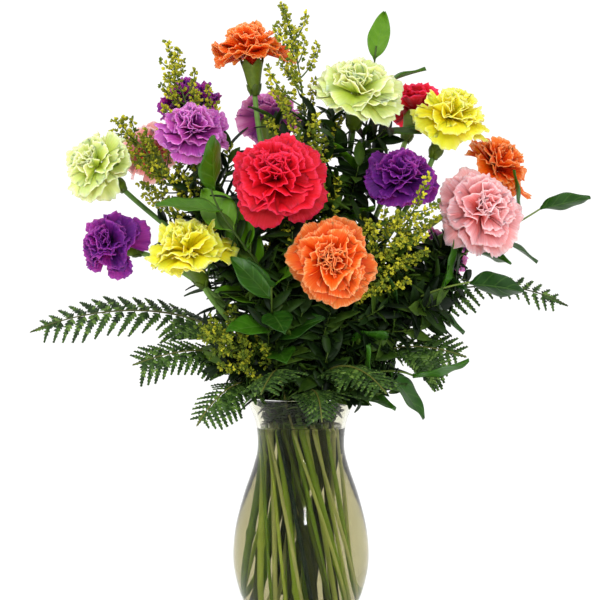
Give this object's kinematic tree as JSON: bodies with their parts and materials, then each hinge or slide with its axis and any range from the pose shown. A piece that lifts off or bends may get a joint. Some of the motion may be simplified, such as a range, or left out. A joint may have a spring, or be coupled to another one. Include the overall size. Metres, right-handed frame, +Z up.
{
  "type": "carnation bouquet in a glass vase",
  "caption": "Bunch of carnations with goldenrod, fern fronds and leafy sprigs, standing in a clear glass vase of water.",
  "frame": {"origin": "middle of the underside of the vase's foot", "axes": "+Z up along the vase's axis, -Y towards the front of the arrangement, +X to the viewer's right"},
  "size_m": [0.449, 0.2461, 0.514],
  "materials": {
    "glass": "clear pressed glass, faintly grey-green",
    "water": "clear still water",
    "carnation_stem": "waxy blue-green stems and calyxes",
    "goldenrod": "yellow-green clusters of tiny florets",
    "fern": "dark green leathery fronds",
    "leaf": "glossy dark green leaves",
    "petal_orange": "soft matt orange petals with paler cut edges",
    "petal_green": "soft matt pale green petals with paler cut edges",
    "petal_yellow": "soft matt yellow petals with paler cut edges",
    "petal_red": "soft matt red petals with paler cut edges",
    "petal_pink": "soft matt pink petals with paler cut edges",
    "petal_purple": "soft matt purple petals with paler cut edges",
    "petal_lavender": "soft matt lavender petals with paler cut edges"
  },
  "bodies": {
    "root": {"vase": "glass", "stem_orange_top": "carnation_stem", "stem_green_top": "carnation_stem", "stem_yellow_right": "carnation_stem", "stem_red_back": "carnation_stem", "stem_orange_right": "carnation_stem", "stem_pink_right": "carnation_stem", "stem_purple_mid": "carnation_stem", "stem_purple_low": "carnation_stem", "stem_green_left": "carnation_stem", "stem_purple_top": "carnation_stem", "stem_lavender_left": "carnation_stem", "stem_red_centre": "carnation_stem", "stem_yellow_left": "carnation_stem", "stem_orange_front": "carnation_stem", "stem_lavender_back": "carnation_stem", "stem_pink_back": "carnation_stem", "stem_lavender_low": "carnation_stem", "petals_orange_top": "petal_orange", "petals_green_top": "petal_green", "petals_yellow_right": "petal_yellow", "petals_red_back": "petal_red", "petals_orange_right": "petal_orange", "petals_pink_right": "petal_pink", "petals_purple_mid": "petal_purple", "petals_purple_low": "petal_purple", "petals_green_left": "petal_green", "petals_purple_top": "petal_purple", "petals_lavender_left": "petal_lavender", "petals_red_centre": "petal_red", "petals_yellow_left": "petal_yellow", "petals_orange_front": "petal_orange", "petals_lavender_back": "petal_lavender", "petals_pink_back": "petal_pink", "petals_lavender_low": "petal_lavender", "sprig_left": "leaf", "sprig_top": "leaf", "sprig_far_right": "leaf", "sprig_right": "leaf", "sprig_centre": "leaf", "sprig_low": "leaf", "fern_far_left": "fern", "fern_left": "fern", "fern_front_left": "fern", "fern_front_inner": "fern", "fern_front": "fern", "fern_front_right": "fern", "fern_far_right": "fern", "fern_right": "fern", "fern_back_left": "fern", "fern_back_right": "fern", "goldenrod_top": "goldenrod", "goldenrod_left_top": "goldenrod", "goldenrod_centre": "goldenrod", "goldenrod_front": "goldenrod", "goldenrod_left": "goldenrod", "goldenrod_low": "goldenrod", "water": "water"}
  },
  "joints": []
}
